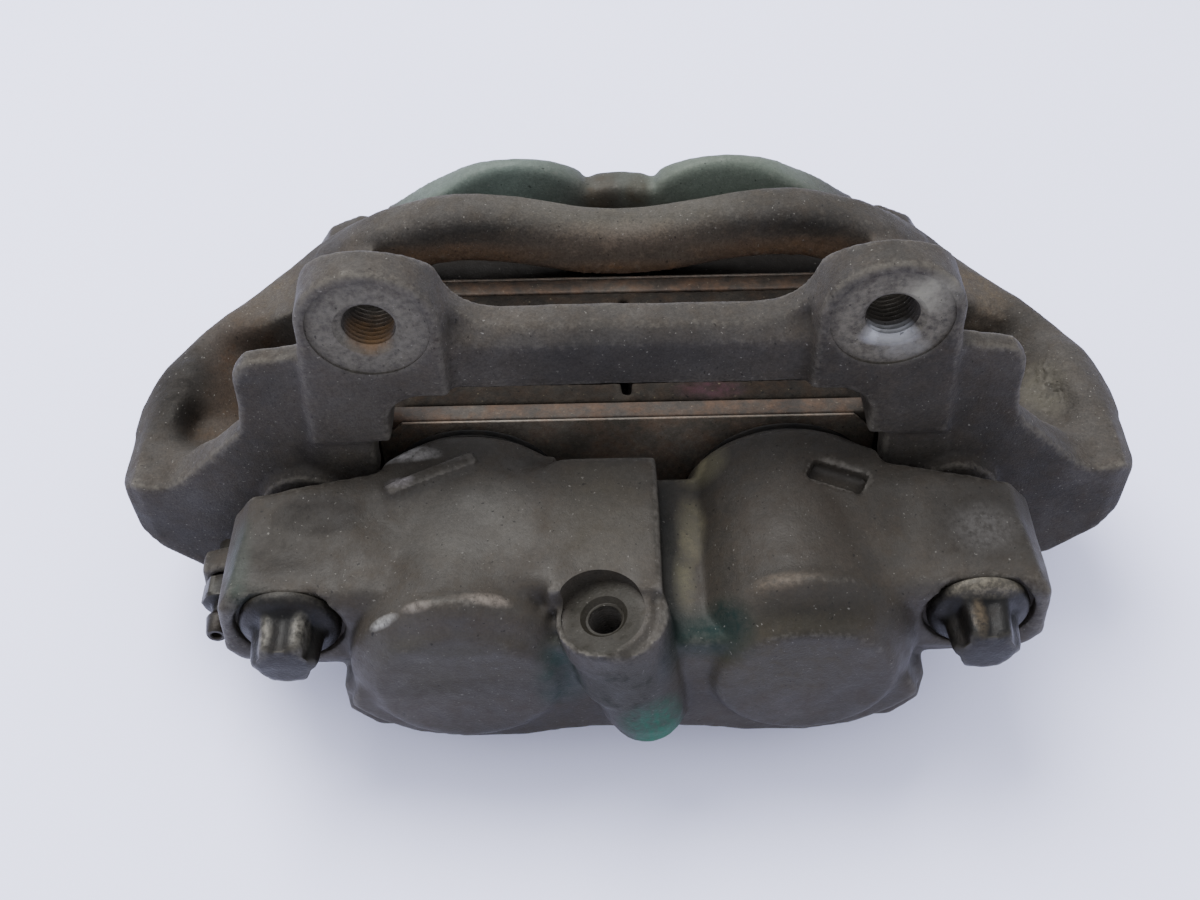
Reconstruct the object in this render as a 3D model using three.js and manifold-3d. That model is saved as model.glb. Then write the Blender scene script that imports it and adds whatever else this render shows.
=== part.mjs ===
// A two-piston floating brake caliper in millimetres, +Z up, lying on its bridge.
// X runs along the disc's travel, +Y points from the inboard to the outboard side, +Z to the hub.
// Up to the last lines x = 0 is midway between the mounting lugs, y = 0 is the disc's middle plane
// and z = 0 is the height of the lug holes. The last lines move the origin under the assembly.

import * as THREE from "three";
import { mergeVertices } from "three/addons/utils/BufferGeometryUtils.js";
import Module from "manifold-3d";

const wasm = await Module();
wasm.setup();

// Disc and pads
const discRadius = 172;
const hubHeight = 60;
const discGap = 4.5;
const liningFace = 15.5;
const liningBack = 22.9;
const plateFront = 23.2;
const plateBack = 29;
const shimFront = 29.3;
const shimBack = 30.1;
const padTop = -52.5;
const padHalfWidth = 74;
const padBottomRadius = discRadius - 2;
const earTop = -74.7;
const earBottom = -89.8;
const earTip = 82.8;
const touchGap = 0.3;

// Bracket
const lugSpacing = 130;
const lugRadius = 18.3;
const lugFace = -46.8;
const spotFace = -46;
const spotRadius = 15.5;
const lugThreadRadius = 7;
const lugChamferRadius = 8.6;
const railFront = -43.5;
const inboardBack = -19;
const railTop = -6;
const railBottom = -24.5;
const flankFront = -44.5;
const outboardFront = 19;
const outboardBack = 45;
const pocketDepth = 37.5;
const pocketHalfWidth = 75.5;
const barMiddleY = 36.9;
const barHeight = -44.2;
const barHump = 6.8;
const barSize = 7.8;
const barDepth = 9.3;
const clipSheet = 0.8;

// Guide pins and bolts
const pinX = 90.5;
const pinZ = -66;
const pinRadius = 5.5;
const pinBoreRadius = 5.85;
const pinBossFront = -49;
const pinBoreEnd = -22;
const pinTip = -27;
const pinSeatRadius = 11.3;
const boltRadius = 4.7;
const flangeRadius = 13.4;

// Housing
const pistonX = 45;
const pistonZ = -78;
const pistonRadius = 22;
const boreRadius = 22.35;
const drumRadius = 30.5;
const mouth = -38;
const boreEnd = -88;
const baseFace = -102;
const earBackFace = -57;
const boltSeat = -86.5;
const bridgeHalfWidth = 71;
const bridgeInner = discRadius + 3.5;
const bridgeOuter = discRadius + 15.5;
const fistFace = 30.4;
const fistBack = 67;
const humpFront = 53;
const portX = -8;
const portY = -96.5;
const portSeat = -53;
const portSeatRadius = 10.9;
const portThreadRadius = 4.9;
const bleederX = -115;
const bleederZ = -83;

const sides = [["left", -1], ["right", 1]];
const unitX = new THREE.Vector3(1, 0, 0);
const unitY = new THREE.Vector3(0, 1, 0);
const unitZ = new THREE.Vector3(0, 0, 1);
const degrees = Math.PI / 180;

// ---- solids ----

function signedVolume(points, triangles) {
  const corner = (index) => new THREE.Vector3().fromArray(points, 3 * index);
  let volume = 0;
  for (let i = 0; i < triangles.length; i += 3) {
    const cross = corner(triangles[i + 1]).cross(corner(triangles[i + 2]));
    volume += corner(triangles[i]).dot(cross) / 6;
  }
  return volume;
}

// A closed geometry as a solid with its faces pointing out, ready to be joined and cut.
function solid(geometry) {
  geometry.deleteAttribute("normal");
  geometry.deleteAttribute("uv");
  const merged = mergeVertices(geometry);
  const points = merged.attributes.position.array;
  const corners = merged.index.array;
  const triangles = [];
  for (let i = 0; i < corners.length; i += 3) {
    const [a, b, c] = [corners[i], corners[i + 1], corners[i + 2]];
    if (a !== b && b !== c && c !== a) triangles.push(a, b, c);
  }
  if (signedVolume(points, triangles) < 0) triangles.reverse();
  const options = { numProp: 3, vertProperties: points, triVerts: new Uint32Array(triangles) };
  return new wasm.Manifold(new wasm.Mesh(options));
}

function shapeOf(points) {
  return new THREE.Shape(points.map(([a, b]) => new THREE.Vector2(a, b)));
}

function straightExtrusion(points, depth) {
  return new THREE.ExtrudeGeometry(shapeOf(points), { depth, bevelEnabled: false });
}

// An outline in Y and Z carried along X.
function alongX(points, from, to) {
  const geometry = straightExtrusion(points, to - from);
  geometry.applyMatrix4(new THREE.Matrix4().makeBasis(unitY, unitZ, unitX));
  return solid(geometry.translate(from, 0, 0));
}

// An outline in X and Z carried along Y.
function alongY(points, from, to) {
  const geometry = straightExtrusion(points, to - from);
  return solid(geometry.rotateX(90 * degrees).translate(0, to, 0));
}

// An outline in X and Y carried along Z.
function alongZ(points, from, to) {
  return solid(straightExtrusion(points, to - from).translate(0, 0, from));
}

function block(x0, x1, y0, y1, z0, z1) {
  const geometry = new THREE.BoxGeometry(Math.abs(x1 - x0), y1 - y0, z1 - z0);
  return solid(geometry.translate((x0 + x1) / 2, (y0 + y1) / 2, (z0 + z1) / 2));
}

// A profile of [radius, y] points turned about an axis parallel to Y.
function turned(profile, x, z, segments = 32) {
  const points = profile.map(([radius, y]) => new THREE.Vector2(radius, y));
  return solid(new THREE.LatheGeometry(points, segments).translate(x, 0, z));
}

function rod(radius, from, to, x, z, segments = 32) {
  return turned([[0, from], [radius, from], [radius, to], [0, to]], x, z, segments);
}

function ring(inner, outer, from, to, x, z, segments = 32) {
  const profile = [[inner, from], [outer, from], [outer, to], [inner, to], [inner, from]];
  return turned(profile, x, z, segments);
}

function join(first, ...others) {
  return others.reduce((result, other) => result.add(other), first);
}

function cut(first, ...tools) {
  return tools.reduce((result, tool) => result.subtract(tool), first);
}

// Points of an arc about (x, y), both ends included.
function arc(x, y, radius, fromDegrees, toDegrees, steps) {
  const points = [];
  for (let i = 0; i <= steps; i += 1) {
    const angle = (fromDegrees + (toDegrees - fromDegrees) * i / steps) * degrees;
    points.push([x + radius * Math.cos(angle), y + radius * Math.sin(angle)]);
  }
  return points;
}

// Points of an arc about the hub, below it, from x = from to x = to.
function hubArc(radius, from, to, steps = 16) {
  const angleAt = (x) => -90 + Math.asin(x / radius) / degrees;
  return arc(0, hubHeight, radius, angleAt(from), angleAt(to), steps);
}

function ordered(a, b) {
  return [Math.min(a, b), Math.max(a, b)];
}

function mirrored(points, side) {
  return points.map(([a, b]) => [side * a, b]);
}

// ---- materials ----

function metal(color, roughness, metalness) {
  return new THREE.MeshStandardMaterial({ color, roughness, metalness });
}

const castAluminium = () => metal(0x66635f, 0.75, 0.5);
const castIron = () => metal(0x55524e, 0.8, 0.5);
const pressedSteel = () => metal(0x3a332d, 0.7, 0.6);
const boltSteel = () => metal(0x3b3c3a, 0.6, 0.7);
const platedSteel = () => metal(0x8c8a84, 0.35, 0.9);
const springSteel = () => metal(0x77756f, 0.4, 0.9);
const frictionMix = () => metal(0x4a3f38, 0.95, 0);
const softRubber = () => metal(0x1d1c1b, 0.8, 0);

// ---- bracket ----

// One mounting lug with its round top, its leg beside the slot and its flank block.
function lugLeg(side) {
  const slotCorner = arc(54, -34.5, 10, 90, 0, 5);
  const leg = [[46.8, 0], [46.8, railBottom], ...slotCorner, [64, -42], [85.8, -42], [83.2, 0]];
  const legFoot = [[69.5, -41], [69.5, -64], [88.6, -64], [85.7, -41]];
  const flank = [[80, -10], [99, -13], [102.5, -17.5], [103, -28], [105, -40], [112, -66], [80, -66]];
  return join(
    rod(lugRadius, lugFace, inboardBack - 1, side * lugSpacing / 2, 0, 40),
    alongY(mirrored(leg, side), lugFace, inboardBack - 1),
    alongY(mirrored(legFoot, side), lugFace + 1.5, inboardBack - 1),
    alongY(mirrored(flank, side), flankFront, inboardBack),
    rod(12.8, pinBossFront, inboardBack - 1, side * pinX, pinZ, 32),
  );
}

// What is cut away behind the lugs and the rail, and deeper behind each flank block.
function rearSlopes() {
  const behindLugs = [[-37.5, 19], [-31.5, 8], [-31.5, -7], [-22, -16], [-20, -25], [-10, -25], [-10, 30],
    [-37.5, 30]];
  const behindFlank = [[-39, 10], [-38.5, -30], [-36.5, -50], [-31, -61], [-18, -72], [-10, -72], [-10, 10]];
  return join(
    alongX(behindLugs, -84, 84),
    alongX(behindFlank, -131, -83.3),
    alongX(behindFlank, 83.3, 131),
  );
}

// The rail between the lugs: flat in the middle, rising to each lug in a fillet.
function rail() {
  const fillet = 14;
  const filletZ = railTop + fillet;
  const reach = Math.sqrt((lugRadius + fillet) ** 2 - filletZ ** 2);
  const filletX = lugSpacing / 2 - reach;
  const touch = -Math.atan2(filletZ, reach) / degrees;
  const rise = arc(filletX, filletZ, fillet, -90, touch, 6);
  const halfTop = [...rise, [lugSpacing / 2, 0]];
  const top = [...halfTop.slice().reverse(), ...mirrored(halfTop, -1)];
  const outline = [[-66, railBottom], [66, railBottom], ...top];
  const body = alongY(outline, railFront, inboardBack - 1);
  const frontSlope = alongX([[-46, -9], [-43.5, -10], [-38.5, -4.5], [-38.5, 20], [-46, 20]], -46, 46);
  return cut(body, frontSlope);
}

// One arm over the disc, as three slabs that share a plan: inboard, over the disc and outboard.
function arm(side) {
  const inboard = [[75.5, -44], [103, -37], [125, -58.5], [131, -62], [139.5, -60.5], [145, -66], [146, -76],
    [143, -83], [137, -90], [127, -100], [117, -105.5], [106, -109], [75.5, -109]];
  const middle = [[76, -52], [126, -57], [139, -60.5], [145.5, -66], [146.5, -77], [140, -91],
    [126, -104], [106, -114], [76, -118]];
  const outboard = [[75.5, -37.5], [84, -41], [93, -47], [102, -54], [112, -59], [121, -61.5], [138, -62],
    [145, -67], [144, -82], [138, -92], [126, -103], [106, -111], [75.5, -113]];
  const plan = [[60, -44.5], [138, -44.5], [143, -42], [145.5, -36], [146.5, -22], [146, -10], [143, 1],
    [139, 9], [133, 19], [127, 27.5], [120, 34.5], [111, 41], [102, outboardBack], [60, outboardBack]];
  const rimStep = 6;
  const slabs = join(
    alongY(mirrored(inboard, side), flankFront, inboardBack),
    alongY(mirrored(middle, side), inboardBack - 0.5, rimStep),
    alongY(mirrored(outboard, side), rimStep - 0.5, outboardBack),
  );
  return slabs.intersect(alongZ(mirrored(plan, side), -120, 0));
}

// The outboard tie bar, a thick rounded bar with a hump over each piston.
function tieBar() {
  const middle = [];
  const ends = pocketHalfWidth + 14;
  for (let x = -ends; x <= ends + 0.1; x += ends / 12) {
    const hump = barHump * Math.sin(Math.PI * Math.min(Math.abs(x) / 48, 1) / 2) ** 2;
    const fall = Math.max(Math.abs(x) - 56, 0) * 0.36 + Math.max(Math.abs(x) - 75, 0) * 0.4;
    middle.push(new THREE.Vector3(x, barMiddleY, barHeight + hump - fall));
  }
  const corner = 5;
  const flatHeight = barSize - corner;
  const flatDepth = barDepth - corner;
  const section = [
    ...arc(flatHeight, flatDepth, corner, 0, 90, 3),
    ...arc(-flatHeight, flatDepth, corner, 90, 180, 3),
    ...arc(-flatHeight, -flatDepth, corner, 180, 270, 3),
    ...arc(flatHeight, -flatDepth, corner, 270, 360, 3),
  ];
  const extrudePath = new THREE.CatmullRomCurve3(middle);
  return solid(new THREE.ExtrudeGeometry(shapeOf(section), { steps: 26, extrudePath, bevelEnabled: false }));
}

function lugHole(side) {
  const x = side * lugSpacing / 2;
  const chamfer = lugChamferRadius - lugThreadRadius;
  return join(
    rod(lugThreadRadius, spotFace - 5, inboardBack + 5, x, 0),
    rod(spotRadius, spotFace - 5, spotFace, x, 0, 40),
    turned([[0, spotFace - 1], [lugChamferRadius, spotFace - 1], [lugChamferRadius, spotFace],
      [lugThreadRadius, spotFace + chamfer], [0, spotFace + chamfer]], x, 0),
  );
}

// The room that a pad and its ears slide in, from the disc to the end of the pocket.
function padPocket(side, top) {
  const [near, far] = ordered(side * pocketDepth, side * (outboardFront - 1));
  const slotHalfWidth = earTip + clipSheet + 3 * touchGap;
  const slotLow = earBottom - clipSheet - 2 * touchGap;
  const slotHigh = earTop + clipSheet + 2 * touchGap;
  return join(
    block(-pocketHalfWidth, pocketHalfWidth, near, far, -130, top),
    block(-slotHalfWidth, slotHalfWidth, near, far, slotLow, slotHigh),
  );
}

function bracket() {
  const body = join(rail(), lugLeg(-1), lugLeg(1), arm(-1), arm(1), tieBar());
  const discSpace = rod(discRadius + discGap, inboardBack + 0.5, outboardFront - 0.5, 0, hubHeight, 96);
  const cuts = [rearSlopes(), discSpace, padPocket(-1, padTop + 1), padPocket(1, padTop + 0.5)];
  for (const side of [-1, 1]) {
    cuts.push(lugHole(side));
    cuts.push(rod(pinBoreRadius, pinBossFront - 10, pinBoreEnd, side * pinX, pinZ));
    cuts.push(rod(drumRadius + 1.8, -60, mouth + 5, side * pistonX, pistonZ));
  }
  return cut(body, ...cuts);
}

// ---- housing ----

function drum(side) {
  const ridge = baseFace + (side < 0 ? 7 : 11.5);
  const profile = [[0, baseFace], [23, baseFace], [27.5, (baseFace + ridge) / 2], [drumRadius, ridge],
    [drumRadius, mouth - 2], [drumRadius - 1.5, mouth], [0, mouth]];
  return turned(profile, side * pistonX, pistonZ, 40);
}

function pistonBore(side) {
  const profile = [[0, boreEnd], [boreRadius, boreEnd], [boreRadius, -50], [25.4, -50], [25.4, -46.5],
    [boreRadius, -46.5], [boreRadius, -43], [26.4, -43], [26.4, mouth + 5], [0, mouth + 5]];
  return turned(profile, side * pistonX, pistonZ, 36);
}

function guideEar(side) {
  const outline = [[45, -47.8], [92, -48], [102, -50.5], [108, -58], [109.5, -76], [103, -86], [80, -91],
    [45, -96]];
  const plan = [[45, -44], [64, -51], [70, -51.5], [94, earBackFace], [115, earBackFace], [115, -90],
    [45, -90]];
  const sideView = [[-40, -40], [-40, -100], [-80, -100], [-89.5, -80], [-89.5, -58], [-87, -54],
    [-57, -47.5], [-50, -40]];
  return alongY(mirrored(outline, side), -90, -40)
    .intersect(alongZ(mirrored(plan, side), -110, -30))
    .intersect(alongX(sideView, -115, 115));
}

// The slope from an ear's front edge up to the mouth of its drum.
function drumShoulder(side) {
  const sideView = [[-67, -49.4], [-51.5, -48.1], [-41, -48.8], [-38.5, -51.5], [-38.5, -80], [-67, -80]];
  const plan = [[30, mouth - 0.5], [48.5, mouth - 0.5], [55.5, -40.3], [62.5, -43.6], [67.6, -46.6],
    [68.6, -50.5], [68.6, -67], [30, -67]];
  const [low, high] = ordered(side * 40.4, side * 72);
  return alongX(sideView, low, high).intersect(alongZ(mirrored(plan, side), -80, -40));
}

function guideEarCuts(side) {
  return join(
    rod(boltRadius + 0.4, -95, -50, side * pinX, pinZ),
    rod(flangeRadius + 1.2, -95, boltSeat, side * pinX, pinZ),
    rod(pinSeatRadius, earBackFace, -40, side * pinX, pinZ),
  );
}

// The body under the drums, sloping back to the bridge.
function lowerBody() {
  const frontHalf = [[18, -105], [30, -107.8], [48, -107.8], [61, -104.5], [71, -97.5], [77, -90], [72, -78]];
  const rearHalf = [[56, -121], [70, -112], [79, -100], [79, -88], [70, -78]];
  const front = [...frontHalf, ...mirrored(frontHalf, -1).reverse(), [0, -104]];
  const rear = [...rearHalf, ...mirrored(rearHalf, -1).reverse(), [0, hubHeight - bridgeOuter]];
  const frontView = [[-92, -70], [-99, -84], [-99, -112], [-70, -112], [-70, -70]];
  const rearView = [[-94, -78], [-94, -108], [-82, -124], [-78, -128], [-50, -128], [-50, -78]];
  const legs = alongY([...hubArc(bridgeOuter, -68, 68), [bridgeHalfWidth, -92], [-bridgeHalfWidth, -92]],
    -55, mouth);
  return join(
    alongY(front, -100, -70).intersect(alongX(frontView, -90, 90)),
    alongY(rear, -95, -50).intersect(alongX(rearView, -90, 90)),
    legs,
  );
}

function bridge() {
  const section = [...hubArc(bridgeOuter, -bridgeHalfWidth, bridgeHalfWidth),
    ...hubArc(bridgeInner, -bridgeHalfWidth, bridgeHalfWidth).reverse()];
  const bottom = hubHeight - bridgeOuter;
  const window = block(-19, 19, -14, 22, bottom - 5, bottom + 20);
  const ribs = [-1, 1].map((side) => block(side * 42, side * 58, -78, 56, bottom, bottom + 12));
  return join(cut(alongY(section, -75, 58), window), ...ribs);
}

// The outboard wall that presses the outer pad, with a hump behind each arch of the tie bar.
function fist() {
  const hump = arc(33, -66, 35.5, 53, 127, 8);
  const halfOutline = [[71, -104], [77, -78], [79, -62], [76, -52], [65, -43.8], ...hump,
    [11.5, -39.8], [5, -38.4], [1, -38]];
  const bottom = hubArc(bridgeOuter, -bridgeHalfWidth, bridgeHalfWidth);
  const outline = [...bottom, ...halfOutline, ...mirrored(halfOutline, -1).reverse()];
  const bottomZ = hubHeight - bridgeOuter;
  const sideView = [[fistFace, bottomZ], [fistFace, -57], [humpFront, -57], [humpFront, -48], [58, -30],
    [60, -27], [62, -28], [65, -38], [fistBack, -62], [66, -100], [58, bottomZ]];
  const core = alongY(outline, fistFace, fistBack).intersect(alongX(sideView, -80, 80));
  const wing = [[60, -110], [86, -94], [98, -76], [100, -64], [94, -54.5], [84, -50], [74, -52], [60, -60]];
  const wings = [-1, 1].map((side) => alongY(mirrored(wing, side), humpFront - 1, humpFront + 7));
  const body = join(core, ...wings);
  const flanks = [-1, 1].map((side) =>
    block(side * bridgeHalfWidth, side * 110, 25, humpFront - 0.5, -130, -30));
  const notch = [[-9, -50], ...arc(0, -88, 9, 180, 360, 8), [9, -50]];
  const grooves = [-11, 11].map((x) => alongZ([[x, 62], [x + 5, 70], [x - 5, 70]], -130, -20));
  return cut(body, alongY(notch, fistFace - 1, humpFront - 3), ...grooves, ...flanks);
}

// The flat-topped rib from the piston side to the hose port, and the leaning boss under the port.
function portRib() {
  const lean = 11 * degrees;
  const boss = new THREE.LatheGeometry(
    [[0, -52], [6.5, -50.5], [10.5, -46], [12.2, -38], [13, -10], [13.2, 0], [0, 0]]
      .map(([radius, height]) => new THREE.Vector2(radius, height)), 32);
  boss.rotateX(90 * degrees).rotateY(-lean).translate(portX + 3.2, portY, portSeat);
  const collar = new THREE.CylinderGeometry(portSeatRadius + 0.9, portSeatRadius + 0.9, 26, 32);
  collar.translate(0, -13, 0).rotateX(90 * degrees).rotateY(-lean).translate(portX, portY, portSeat);
  const fillView = [[-91, -60], [-89, -50], [-86, -48.3], [-54, -48.3], [-40, -56], [-40, -80], [-91, -80]];
  const leftFill = alongX(fillView, -42, -20);
  return join(block(-22.5, 7, -92, -47.5, -80, -48), leftFill, solid(boss), solid(collar));
}

function portCuts() {
  const lean = 11 * degrees;
  const tools = [[portSeatRadius, 0, 20], [portThreadRadius, -20, 2]].map(([radius, from, to]) => {
    const tool = new THREE.CylinderGeometry(radius, radius, to - from, 40).translate(0, (from + to) / 2, 0);
    return solid(tool.rotateX(90 * degrees).rotateY(-lean).translate(portX, portY, portSeat));
  });
  return join(...tools);
}

function bleederBoss() {
  const link = [[-95, -78], [-110, -74], [-121, -78], [-122, -90], [-108, -94], [-85, -90]];
  return alongY(link, -62, earBackFace + 3);
}

function housing() {
  const web = block(-32, 32, -99, -44, -104, -62);
  const scuffRib = alongZ([[-66, -58], [-64, -61.5], [-41, -50.5], [-43, -46.5]], -60, -45.4);
  const body = join(drum(-1), drum(1), web, guideEar(-1), guideEar(1), drumShoulder(-1), drumShoulder(1),
    lowerBody(), bridge(), fist(), portRib(), bleederBoss(), scuffRib);
  const pocket = alongZ([[50, -50], [64, -56], [61, -62], [47, -56]], -51.5, -40);
  const cuts = [portCuts(), pocket, rod(4.2, -70, -50, bleederX, bleederZ, 24)];
  for (const side of [-1, 1]) {
    cuts.push(pistonBore(side), guideEarCuts(side));
  }
  return cut(body, ...cuts);
}

// ---- pads ----

function padOutline(halfWidth, shoulder, withEars) {
  const bottomCorner = 66;
  const right = [[halfWidth, -98], [halfWidth, padTop - shoulder]];
  const ear = [[halfWidth, earBottom], [earTip, earBottom], [earTip, earTop], [halfWidth, earTop]];
  if (withEars) right.splice(1, 0, ...ear);
  const half = [...right, [halfWidth - shoulder, padTop]];
  return [...hubArc(padBottomRadius, -bottomCorner, bottomCorner), ...half, ...mirrored(half, -1).reverse()];
}

function padSlab(outline, near, far, side) {
  return alongY(outline, ...ordered(side * near, side * far));
}

// The friction block, with a groove down the middle of the face that meets the disc.
function lining(side) {
  const [low, high] = ordered(side * (liningFace - 1), side * (liningFace + 4.5));
  const groove = block(-1.5, 1.5, low, high, -125, -40);
  return cut(padSlab(padOutline(70, 7, false), liningFace, liningBack, side), groove);
}

function abutmentClip(side, padSide) {
  const top = earTop + touchGap + clipSheet;
  const bottom = earBottom - touchGap - clipSheet;
  const outside = earTip + touchGap + clipSheet;
  const inside = pocketHalfWidth + 1;
  const outline = [[inside, top], [outside, top], [outside, bottom], [inside, bottom],
    [inside, bottom + clipSheet], [outside - clipSheet, bottom + clipSheet],
    [outside - clipSheet, top - clipSheet], [inside, top - clipSheet]];
  return padSlab(mirrored(outline, side), -inboardBack + 0.5, pocketDepth - 1, padSide);
}

// ---- pistons, seals and boots ----

function piston(side) {
  const front = -shimBack - touchGap;
  const profile = [[0, -77], [pistonRadius - 1, -77], [pistonRadius, -76], [pistonRadius, front],
    [17, front], [17, -68], [15, -70], [0, -70]];
  return turned(profile, side * pistonX, pistonZ, 36);
}

function pistonSeal(side) {
  return ring(pistonRadius + touchGap, 25.1, -49.7, -46.8, side * pistonX, pistonZ, 28);
}

function pistonBoot(side) {
  const inner = pistonRadius + touchGap;
  const profile = [[inner, -42.7], [26.1, -42.7], [26.1, -38.6], [24.4, -37.6], [26.4, -36], [24.4, -34.4],
    [25.2, -32.8], [inner, -32.8], [inner, -42.7]];
  return turned(profile, side * pistonX, pistonZ, 36);
}

// ---- guide pins, their boots and bolts, bleeder screw ----

function guidePin(side) {
  const profile = [[0, pinTip], [pinRadius - 1, pinTip], [pinRadius, pinTip - 1], [pinRadius, -54.4],
    [8.2, -54.4], [8.2, earBackFace + touchGap], [boltRadius + 0.4, earBackFace + touchGap],
    [boltRadius + 0.4, -36], [0, -34]];
  return turned(profile, side * pinX, pinZ, 24);
}

function guidePinBoot(side) {
  const inner = pinRadius + touchGap;
  const profile = [[inner, -54.1], [9.6, -54.1], [10.6, -53.2], [8.6, -52.2], [10.8, -51.2], [8.8, -50.3],
    [10.4, -49.3], [inner, -49.3], [inner, -54.1]];
  return turned(profile, side * pinX, pinZ, 20);
}

// A flange bolt with a six-lobed head.
function guideBolt(side) {
  const lobes = [];
  for (let i = 0; i < 48; i += 1) {
    const angle = i * 7.5 * degrees;
    const radius = 8.4 + 0.85 * Math.cos(6 * angle);
    lobes.push([side * pinX + radius * Math.cos(angle), pinZ + radius * Math.sin(angle)]);
  }
  const seat = boltSeat - touchGap;
  const head = alongY(lobes, -101.5, seat - 3);
  const crown = turned([[0, -101.5], [7.2, -101.5], [9.6, -99.5], [9.6, seat], [0, seat]], side * pinX, pinZ);
  const flange = turned([[0, seat - 4.2], [9.5, seat - 4.2], [flangeRadius, seat - 2.2], [flangeRadius, seat],
    [boltRadius, seat], [boltRadius, -38], [0, -38]], side * pinX, pinZ);
  return join(head.intersect(crown), flange);
}

function bleederScrew() {
  const hexagon = arc(bleederX, bleederZ, 6.3, 0, 300, 5);
  const profile = [[0, -49], [3.9, -49], [3.9, -62.4], [5.4, -62.4], [5.4, -69.5], [2.6, -70.6], [2.6, -73],
    [3.6, -74.5], [2.9, -80], [1.4, -80], [1.4, -68], [0, -67]];
  return join(alongY(hexagon, -69, -63), turned(profile, bleederX, bleederZ, 20));
}

// ---- assembly ----

const caliper = new THREE.Group();

function place(name, piece, material) {
  const { vertProperties, triVerts } = piece.getMesh();
  const geometry = new THREE.BufferGeometry();
  geometry.setAttribute("position", new THREE.BufferAttribute(vertProperties, 3));
  geometry.setIndex(new THREE.BufferAttribute(triVerts, 1));
  geometry.computeVertexNormals();
  const mesh = new THREE.Mesh(geometry, material);
  mesh.name = name;
  caliper.add(mesh);
}

place("bracket", bracket(), castIron());
place("housing", housing(), castAluminium());
place("bleeder_screw", bleederScrew(), boltSteel());
for (const [word, side] of sides) {
  place(`piston_${word}`, piston(side), platedSteel());
  place(`piston_seal_${word}`, pistonSeal(side), softRubber());
  place(`piston_boot_${word}`, pistonBoot(side), softRubber());
  place(`guide_pin_${word}`, guidePin(side), platedSteel());
  place(`guide_pin_boot_${word}`, guidePinBoot(side), softRubber());
  place(`guide_bolt_${word}`, guideBolt(side), boltSteel());
  place(`clip_inner_${word}`, abutmentClip(side, -1), springSteel());
  place(`clip_outer_${word}`, abutmentClip(side, 1), springSteel());
}
for (const [word, side] of [["inner", -1], ["outer", 1]]) {
  place(`pad_plate_${word}`, padSlab(padOutline(padHalfWidth, 7, true), plateFront, plateBack, side),
    pressedSteel());
  place(`pad_lining_${word}`, lining(side), frictionMix());
  place(`pad_shim_${word}`, padSlab(padOutline(padHalfWidth - 3, 7, false), shimFront, shimBack, side),
    springSteel());
}

// The origin goes to the middle of the assembly's footprint, at the height it rests on.
const extent = new THREE.Box3().setFromObject(caliper);
const middle = extent.getCenter(new THREE.Vector3());
caliper.position.set(-middle.x, -middle.y, -extent.min.z);
caliper.updateMatrixWorld(true);

export default caliper;
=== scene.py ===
# A used two-piston floating brake caliper on its bracket, lying on its bridge.
# at(x, y, z) takes millimetres from the middle between the lug holes, on the disc's middle plane.
import math

import bmesh
import bpy
import numpy as np
from mathutils import Matrix, Vector, noise


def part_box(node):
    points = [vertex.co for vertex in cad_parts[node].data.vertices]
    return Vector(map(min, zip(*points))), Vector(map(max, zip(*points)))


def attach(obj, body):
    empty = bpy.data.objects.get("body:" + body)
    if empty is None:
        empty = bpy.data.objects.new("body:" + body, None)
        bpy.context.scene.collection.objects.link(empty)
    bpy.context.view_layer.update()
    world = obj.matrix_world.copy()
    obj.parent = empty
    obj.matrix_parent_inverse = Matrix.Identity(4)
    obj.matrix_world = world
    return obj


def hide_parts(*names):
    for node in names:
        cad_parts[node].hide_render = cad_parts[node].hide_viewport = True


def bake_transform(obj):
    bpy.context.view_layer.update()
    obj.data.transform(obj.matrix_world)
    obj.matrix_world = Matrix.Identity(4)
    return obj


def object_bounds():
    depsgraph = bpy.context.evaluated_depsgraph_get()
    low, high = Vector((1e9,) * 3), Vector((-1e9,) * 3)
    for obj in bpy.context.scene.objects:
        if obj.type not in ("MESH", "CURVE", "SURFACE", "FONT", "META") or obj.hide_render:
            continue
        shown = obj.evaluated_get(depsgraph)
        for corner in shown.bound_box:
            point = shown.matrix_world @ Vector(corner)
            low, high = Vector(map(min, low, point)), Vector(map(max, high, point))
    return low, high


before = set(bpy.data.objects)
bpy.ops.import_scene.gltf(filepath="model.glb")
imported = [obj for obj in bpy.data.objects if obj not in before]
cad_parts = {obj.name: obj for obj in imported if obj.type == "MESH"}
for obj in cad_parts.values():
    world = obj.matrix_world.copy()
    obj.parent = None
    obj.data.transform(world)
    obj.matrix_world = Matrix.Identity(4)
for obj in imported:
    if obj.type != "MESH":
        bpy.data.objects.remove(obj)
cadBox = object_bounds()

mm = 0.001
lugTop = 18.3   # how far the lugs' round tops stand above their holes, in mm
pinX, pinZ = 90.5, -66.0    # the guide pins and bolts, in mm
boreX, boreZ = 45.0, -78.0   # the two pistons' bores, in mm
discPlaneY = (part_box("pad_lining_inner")[1].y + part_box("pad_lining_outer")[0].y) / 2
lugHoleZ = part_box("bracket")[1].z - lugTop * mm


def at(x, y, z):
    return Vector((x * mm, discPlaneY + y * mm, lugHoleZ + z * mm))


def linear(value):
    value = value / 255
    return value / 12.92 if value <= 0.04045 else ((value + 0.055) / 1.055) ** 2.4


def tone(red, green, blue, strength=1.0):
    return tuple(linear(v) * strength for v in (red, green, blue)) + (1.0,)


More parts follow.
